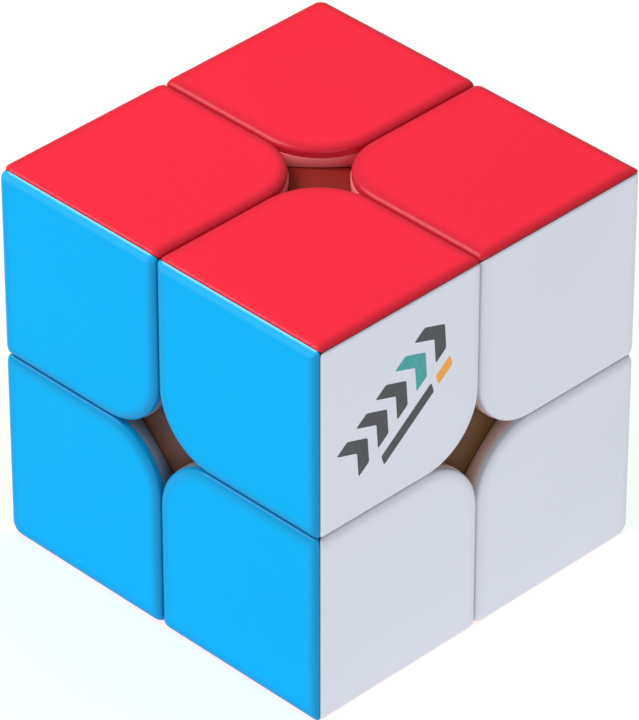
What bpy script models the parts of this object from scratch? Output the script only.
"""Twisty puzzle cube, two layers each way, with the hidden mechanism that lets every layer turn.

The cube is 50 mm along each edge. Its centre is the origin, +Z is up, the front face looks
along -Y and the right face along +X. Every turning layer turns about an axis through the
origin, so every object keeps its own origin there.

From the middle outwards: a round core; six centres, three of them on sprung screws and three
plugged into the core; twelve edges that fill the hidden sphere; and eight corners whose feet
hook under the edges and centres. A coloured tile plugs into each outer face of each corner.
"""

import math

import bmesh
import bpy
from mathutils import Matrix, Vector

MM = 0.001

# Outside of the cube, in millimetres.
HALF = 25.0
SEAM_GAP = 0.2
MITRE_GAP = 0.2
TILE_THICKNESS = 1.25
TILE_INNER_RADIUS = 8.0
TILE_CORNER_RADIUS = 0.8
TILE_TOP_CORNER_RADIUS = 0.35
TILE_EDGE_WIDTH = 0.9
TILE_EDGE_DROP = 0.45
BODY_FACE = 23.5
BODY_INSET = 0.15

# Plugs that hold the tiles, centred on each tile.
PLUG_AT = 14.0
PLUG_RADIUS = 3.4
PLUG_DEPTH = 18.8
POCKET_RADIUS = 3.7
POCKET_DEPTH = 18.5

# Hidden mechanism: an outer and an inner shell, each cut by planes beside the axes.
SHELL_RADIUS = 22.8
SHELL_CLEAR = 23.15
SHELL_INNER = 18.65
STEP_RADIUS = 18.2
FOOT_INNER = 9.65
CORE_RADIUS = 9.2
SHELL_CUT = 8.0
FOOT_CUT = 4.5
CUT_GAP = 0.2
BRIDGE_INSET = 0.1
BRIDGE_OUTER = 19.2
BRIDGE_INNER = 17.6
NECK_OUTER = 23.9

# Screw, spring and cover of a turning centre.
COVER_RADIUS = 6.8
COVER_FROM = 20.5
RECESS_RADIUS = 7.1
RECESS_FROM = 20.2
POCKET_FLOOR = 12.9
SPRING_POCKET_RADIUS = 3.3
SHANK_BORE_RADIUS = 1.7
SCREW_HEAD_RADIUS = 3.0
SCREW_HEAD_FROM = 18.0
SCREW_HEAD_TO = 19.8
SCREW_SHANK_RADIUS = 1.3
SCREW_TIP = 4.0
CORE_BORE_RADIUS = 1.6
CORE_BORE_FROM = 3.5
SPRING_RADIUS = 2.4
SPRING_WIRE = 0.3
SPRING_FROM = 13.5
SPRING_TO = 17.4
SPRING_TURNS = 5

# Square tenon of a fixed centre and its socket in the core.
TENON_HALF = 2.2
SOCKET_HALF = 2.5
TENON_TIP = 3.9

OUTER_SEGMENTS = 40
INNER_SEGMENTS = 28
ROUND_SEGMENTS = 24

FACES = {
    "top": Vector((0, 0, 1)),
    "bottom": Vector((0, 0, -1)),
    "front": Vector((0, -1, 0)),
    "back": Vector((0, 1, 0)),
    "right": Vector((1, 0, 0)),
    "left": Vector((-1, 0, 0)),
}
TILE_COLOURS = {
    "top": "red",
    "bottom": "orange",
    "front": "blue",
    "back": "green",
    "right": "white",
    "left": "yellow",
}
TURNING_FACES = ("top", "front", "right")

# Linear colour, roughness, metallic.
MATERIALS = {
    "red": ((0.965, 0.040, 0.070), 0.32, 0.0),
    "orange": ((0.960, 0.190, 0.010), 0.32, 0.0),
    "blue": ((0.004, 0.460, 0.930), 0.32, 0.0),
    "green": ((0.010, 0.480, 0.080), 0.32, 0.0),
    "white": ((0.800, 0.810, 0.850), 0.32, 0.0),
    "yellow": ((0.900, 0.700, 0.010), 0.32, 0.0),
    "inner_body": ((0.620, 0.600, 0.600), 0.45, 0.0),
    "hidden_shell": ((0.130, 0.060, 0.035), 0.45, 0.0),
    "core": ((0.550, 0.540, 0.520), 0.45, 0.0),
    "steel": ((0.560, 0.570, 0.580), 0.30, 1.0),
}


def clear_scene():
    for obj in list(bpy.data.objects):
        bpy.data.objects.remove(obj, do_unlink=True)
    for mesh in list(bpy.data.meshes):
        bpy.data.meshes.remove(mesh)
    for material in list(bpy.data.materials):
        bpy.data.materials.remove(material)


def make_material(name, colour, roughness, metallic):
    material = bpy.data.materials.new(name)
    material.use_nodes = True
    shader = material.node_tree.nodes["Principled BSDF"]
    shader.inputs["Base Color"].default_value = (*colour, 1.0)
    shader.inputs["Roughness"].default_value = roughness
    shader.inputs["Metallic"].default_value = metallic
    material.diffuse_color = (*colour, 1.0)
    return material


def object_from(bm, name):
    """One object from a bmesh in millimetres, with its faces turned outwards."""
    bmesh.ops.recalc_face_normals(bm, faces=bm.faces)
    bmesh.ops.scale(bm, vec=(MM, MM, MM), verts=bm.verts)
    mesh = bpy.data.meshes.new(name)
    bm.to_mesh(mesh)
    bm.free()
    obj = bpy.data.objects.new(name, mesh)
    bpy.context.scene.collection.objects.link(obj)
    return obj


def box(low, high):
    bm = bmesh.new()
    bmesh.ops.create_cube(bm, size=1.0)
    for vert in bm.verts:
        for axis in range(3):
            vert.co[axis] = low[axis] if vert.co[axis] < 0 else high[axis]
    return object_from(bm, "helper")


def ball(radius):
    """Ball about the centre, finer where it is big enough to be seen between the tiles."""
    segments = OUTER_SEGMENTS if radius > 20.0 else INNER_SEGMENTS
    bm = bmesh.new()
    bmesh.ops.create_uvsphere(bm, u_segments=segments, v_segments=segments // 2, radius=radius)
    return object_from(bm, "helper")


def prism(outline, low, high):
    """Upright solid with the same outline at both heights."""
    return stack([[(x, y, low) for x, y in outline], [(x, y, high) for x, y in outline]])


def stack(loops):
    """Closed solid through loops with equal numbers of points, from the lowest upwards."""
    bm = bmesh.new()
    rows = [[bm.verts.new(point) for point in loop] for loop in loops]
    count = len(rows[0])
    for lower, upper in zip(rows, rows[1:]):
        for i in range(count):
            j = (i + 1) % count
            bm.faces.new((lower[i], lower[j], upper[j], upper[i]))
    bm.faces.new(list(reversed(rows[0])))
    bm.faces.new(rows[-1])
    return object_from(bm, "helper")


def cylinder(radius, low, high, centre=(0.0, 0.0), segments=ROUND_SEGMENTS):
    outline = []
    for i in range(segments):
        angle = 2 * math.pi * (i + 0.5) / segments
        outline.append(
            (centre[0] + radius * math.cos(angle), centre[1] + radius * math.sin(angle))
        )
    return prism(outline, low, high)


def combine(base, other, operation):
    """Applies an exact Boolean to the base and removes the other object."""
    other.hide_render = True
    other.display_type = "WIRE"
    modifier = base.modifiers.new("combine", "BOOLEAN")
    modifier.solver = "EXACT"
    modifier.operation = operation
    modifier.object = other
    bpy.context.view_layer.update()
    graph = bpy.context.evaluated_depsgraph_get()
    mesh = bpy.data.meshes.new_from_object(base.evaluated_get(graph))
    base.modifiers.clear()
    old = base.data
    base.data = mesh
    bpy.data.meshes.remove(old)
    bpy.data.objects.remove(other, do_unlink=True)
    return base


def intersect(base, other):
    return combine(base, other, "INTERSECT")


def subtract(base, other):
    return combine(base, other, "DIFFERENCE")


def unite(base, *others):
    for other in others:
        combine(base, other, "UNION")
    return base


def turned(obj, matrix):
    obj.data.transform(matrix)
    return obj


def shell_block(low, high, outer, inner):
    """The part of a box that lies between two balls."""
    block = box(low, high)
    intersect(block, ball(outer))
    subtract(block, ball(inner))
    return block


def arc(centre, radius, start, end, segments):
    """Points along an arc, with the angles in degrees."""
    points = []
    for i in range(segments + 1):
        angle = math.radians(start + (end - start) * i / segments)
        points.append(
            (centre[0] + radius * math.cos(angle), centre[1] + radius * math.sin(angle))
        )
    return points


def tile_outline(near, far, inner_radius, corner_radius):
    """Square outline in one quarter of a face, its corner at the face's middle well rounded."""
    inner = near + inner_radius
    low = near + corner_radius
    high = far - corner_radius
    points = arc((inner, inner), inner_radius, 180, 270, 8)
    points += arc((high, low), corner_radius, 270, 360, 3)
    points += arc((high, high), corner_radius, 0, 90, 3)
    points += arc((low, high), corner_radius, 90, 180, 3)
    return points


def make_tile():
    """Tile of the top face: chamfered plate, mitred along the cube's edges, with a round plug."""
    bottom = HALF - TILE_THICKNESS
    shoulder = HALF - TILE_EDGE_DROP
    levels = (
        (bottom, 0.0, bottom - MITRE_GAP, TILE_CORNER_RADIUS),
        (shoulder, 0.0, shoulder - MITRE_GAP, TILE_CORNER_RADIUS),
        (HALF, TILE_EDGE_WIDTH, HALF - MITRE_GAP - TILE_EDGE_WIDTH, TILE_TOP_CORNER_RADIUS),
    )
    loops = []
    for height, inset, far, corner_radius in levels:
        outline = tile_outline(
            SEAM_GAP + inset,
            far,
            TILE_INNER_RADIUS - inset,
            corner_radius,
        )
        loops.append([(x, y, height) for x, y in outline])
    plug = cylinder(
        PLUG_RADIUS, PLUG_DEPTH, bottom + TILE_THICKNESS / 2, (PLUG_AT, PLUG_AT), 16
    )
    return unite(stack(loops), plug)


def make_corner():
    """Inner body of the corner in the all-positive octant."""
    near = SEAM_GAP
    body = box((near, near, near), (BODY_FACE, BODY_FACE, BODY_FACE))
    subtract(body, ball(SHELL_CLEAR))
    inner = near + TILE_INNER_RADIUS + BODY_INSET
    rounding = arc((inner, inner), inner - near + 0.01, 270, 180, 8)
    outline = [(-1.0, -1.0), (inner, -1.0), *rounding, (-1.0, inner)]
    for turn in range(3):
        rod = prism(outline, -2.0, HALF + 2.0)
        subtract(body, turned(rod, third_turn(turn)))
    neck_from = SHELL_CUT + CUT_GAP + BRIDGE_INSET / 2
    neck = shell_block((neck_from,) * 3, (NECK_OUTER,) * 3, NECK_OUTER, BRIDGE_INNER)
    foot_from = FOOT_CUT + CUT_GAP
    foot = shell_block((foot_from,) * 3, (HALF,) * 3, STEP_RADIUS, FOOT_INNER)
    unite(body, neck, foot)
    for turn in range(3):
        pocket = cylinder(POCKET_RADIUS, POCKET_DEPTH, HALF, (PLUG_AT, PLUG_AT), 16)
        subtract(body, turned(pocket, third_turn(turn)))
    return body


def make_edge():
    """Edge along X in the quarter where Y and Z are positive."""
    wide = SHELL_CUT - CUT_GAP
    narrow = FOOT_CUT - CUT_GAP
    bridge = narrow - BRIDGE_INSET
    above_shell = SHELL_CUT + CUT_GAP
    above_bridge = above_shell + BRIDGE_INSET
    above_foot = FOOT_CUT + CUT_GAP
    shell = shell_block(
        (-wide, above_shell, above_shell), (wide, HALF, HALF), SHELL_RADIUS, SHELL_INNER
    )
    link = shell_block(
        (-bridge, above_bridge, above_bridge), (bridge, HALF, HALF), BRIDGE_OUTER, BRIDGE_INNER
    )
    foot = shell_block(
        (-narrow, above_foot, above_foot), (narrow, HALF, HALF), STEP_RADIUS, FOOT_INNER
    )
    return unite(shell, link, foot)


def make_centre():
    """Plain centre of the top face: a cap on a square stem."""
    wide = SHELL_CUT - CUT_GAP
    narrow = FOOT_CUT - CUT_GAP
    bridge = narrow - BRIDGE_INSET
    cap = shell_block((-wide, -wide, 5.0), (wide, wide, HALF), SHELL_RADIUS, SHELL_INNER)
    link = shell_block(
        (-bridge, -bridge, 5.0), (bridge, bridge, HALF), BRIDGE_OUTER, BRIDGE_INNER
    )
    stem = shell_block(
        (-narrow, -narrow, 5.0), (narrow, narrow, HALF), STEP_RADIUS, FOOT_INNER
    )
    return unite(cap, link, stem)


def make_turning_centre():
    """Centre with a cover recess, a pocket for screw and spring, and a bore for the shank."""
    centre = make_centre()
    subtract(centre, cylinder(RECESS_RADIUS, RECESS_FROM, HALF))
    subtract(centre, cylinder(SPRING_POCKET_RADIUS, POCKET_FLOOR, HALF))
    subtract(centre, cylinder(SHANK_BORE_RADIUS, 5.0, HALF))
    return centre


def make_fixed_centre():
    """Centre with a square tenon that plugs into the core."""
    tenon = box((-TENON_HALF, -TENON_HALF, TENON_TIP), (TENON_HALF, TENON_HALF, 12.0))
    return unite(make_centre(), tenon)


def make_cover():
    return intersect(cylinder(COVER_RADIUS, COVER_FROM, HALF), ball(SHELL_RADIUS))


def make_screw():
    """Screw with a cross recess in its head."""
    screw = cylinder(SCREW_HEAD_RADIUS, SCREW_HEAD_FROM, SCREW_HEAD_TO)
    unite(screw, cylinder(SCREW_SHANK_RADIUS, SCREW_TIP, SCREW_HEAD_FROM + 0.5, segments=16))
    slot_floor = SCREW_HEAD_TO - 1.0
    cross = box((-1.8, -0.35, slot_floor), (1.8, 0.35, HALF))
    unite(cross, box((-0.35, -1.8, slot_floor), (0.35, 1.8, HALF)))
    return subtract(screw, cross)


def make_spring():
    """Coil spring as one closed tube along a helix."""
    bm = bmesh.new()
    per_turn = 14
    sides = 5
    steps = SPRING_TURNS * per_turn
    rings = []
    for i in range(steps + 1):
        angle = 2 * math.pi * i / per_turn
        height = SPRING_FROM + (SPRING_TO - SPRING_FROM) * i / steps
        ring = []
        for k in range(sides):
            around = 2 * math.pi * k / sides
            radius = SPRING_RADIUS + SPRING_WIRE * math.cos(around)
            ring.append(
                bm.verts.new(
                    (
                        radius * math.cos(angle),
                        radius * math.sin(angle),
                        height + SPRING_WIRE * math.sin(around),
                    )
                )
            )
        rings.append(ring)
    for before, after in zip(rings, rings[1:]):
        for k in range(sides):
            j = (k + 1) % sides
            bm.faces.new((before[k], before[j], after[j], after[k]))
    bm.faces.new(list(reversed(rings[0])))
    bm.faces.new(rings[-1])
    return object_from(bm, "helper")


def make_core():
    """Core ball with screw bores to the turning faces and sockets to the fixed ones."""
    core = ball(CORE_RADIUS)
    for face, normal in FACES.items():
        if face in TURNING_FACES:
            hole = cylinder(CORE_BORE_RADIUS, CORE_BORE_FROM, HALF, segments=16)
        else:
            hole = box(
                (-SOCKET_HALF, -SOCKET_HALF, CORE_BORE_FROM), (SOCKET_HALF, SOCKET_HALF, HALF)
            )
        subtract(core, turned(hole, turn_to(normal)))
    return core


def third_turn(count):
    """Turn about the octant's diagonal that carries X to Y, Y to Z and Z to X."""
    return Matrix.Rotation(math.radians(120 * count), 4, Vector((1, 1, 1)))


def quarter_turn(count, axis):
    return Matrix.Rotation(math.radians(90 * count), 4, axis)


def turn_to(normal):
    """Turn that carries +Z to a face's outward normal."""
    return Vector((0, 0, 1)).rotation_difference(normal).to_matrix().to_4x4()


def snapped(matrix):
    """The same quarter-turn matrix without rounding noise."""
    rows = [[round(matrix[i][j]) for j in range(4)] for i in range(4)]
    return Matrix(rows)


def place(prototype, name, matrix, material, smooth_angle=None):
    """Copies a prototype's mesh into place as a finished object."""
    mesh = prototype.data.copy()
    mesh.name = name
    mesh.transform(snapped(matrix))
    mesh.materials.clear()
    mesh.materials.append(material)
    if smooth_angle is not None:
        mesh.shade_smooth()
        mesh.set_sharp_from_angle(angle=math.radians(smooth_angle))
    obj = bpy.data.objects.new(name, mesh)
    bpy.context.scene.collection.objects.link(obj)
    return obj


def face_of(direction):
    for face, normal in FACES.items():
        if (normal - direction).length < 0.01:
            return face
    return None


def octant_turns():
    """Each octant's name and the turn that carries the all-positive octant onto it."""
    found = []
    for upside_down in (False, True):
        for count in range(4):
            matrix = quarter_turn(count, "Z")
            if upside_down:
                matrix = matrix @ quarter_turn(2, "X")
            faces = [face_of(matrix @ Vector(axis)) for axis in ((0, 0, 1), (0, 1, 0), (1, 0, 0))]
            vertical, *sides = faces
            sides.sort(key=("front", "back", "right", "left").index)
            found.append(("_".join([vertical, *sides]), matrix))
    return found


def edge_turns():
    """Each edge's name and the turn that carries the edge between +Y and +Z onto it."""
    found = []
    order = list(FACES)
    for tip in range(4):
        for spin in range(4):
            for lean in range(2):
                matrix = (
                    quarter_turn(tip, "X") @ quarter_turn(spin, "Z") @ quarter_turn(lean, "Y")
                )
                pair = [face_of(matrix @ Vector(axis)) for axis in ((0, 1, 0), (0, 0, 1))]
                name = "_".join(sorted(pair, key=order.index))
                if name not in [seen for seen, _ in found]:
                    found.append((name, matrix))
    return sorted(found, key=lambda item: item[0])


def main():
    clear_scene()
    bpy.context.scene.unit_settings.scale_length = 1.0
    materials = {name: make_material(name, *values) for name, values in MATERIALS.items()}

    place(make_core(), "core", Matrix(), materials["core"], 40)

    turning = make_turning_centre()
    fixed = make_fixed_centre()
    cover = make_cover()
    screw = make_screw()
    spring = make_spring()
    for face, normal in FACES.items():
        matrix = turn_to(normal)
        if face in TURNING_FACES:
            place(turning, f"centre_{face}", matrix, materials["hidden_shell"], 30)
            place(cover, f"centre_cover_{face}", matrix, materials["hidden_shell"], 30)
            place(screw, f"screw_{face}", matrix, materials["steel"], 30)
            place(spring, f"spring_{face}", matrix, materials["steel"], 80)
        else:
            place(fixed, f"centre_{face}", matrix, materials["hidden_shell"], 30)

    edge = make_edge()
    for name, matrix in edge_turns():
        place(edge, f"edge_{name}", matrix, materials["hidden_shell"], 30)

    corner = make_corner()
    tile = make_tile()
    for name, matrix in octant_turns():
        place(corner, f"corner_{name}", matrix, materials["inner_body"], 30)
        for turn in range(3):
            tile_matrix = matrix @ third_turn(turn)
            face = face_of(tile_matrix @ Vector((0, 0, 1)))
            colour = TILE_COLOURS[face]
            place(tile, f"tile_{colour}_{name}", tile_matrix, materials[colour], 35)

    for prototype in (turning, fixed, cover, screw, spring, edge, corner, tile):
        bpy.data.objects.remove(prototype, do_unlink=True)
    for obj in list(bpy.data.objects):
        if obj.name.startswith("helper"):
            bpy.data.objects.remove(obj, do_unlink=True)


main()
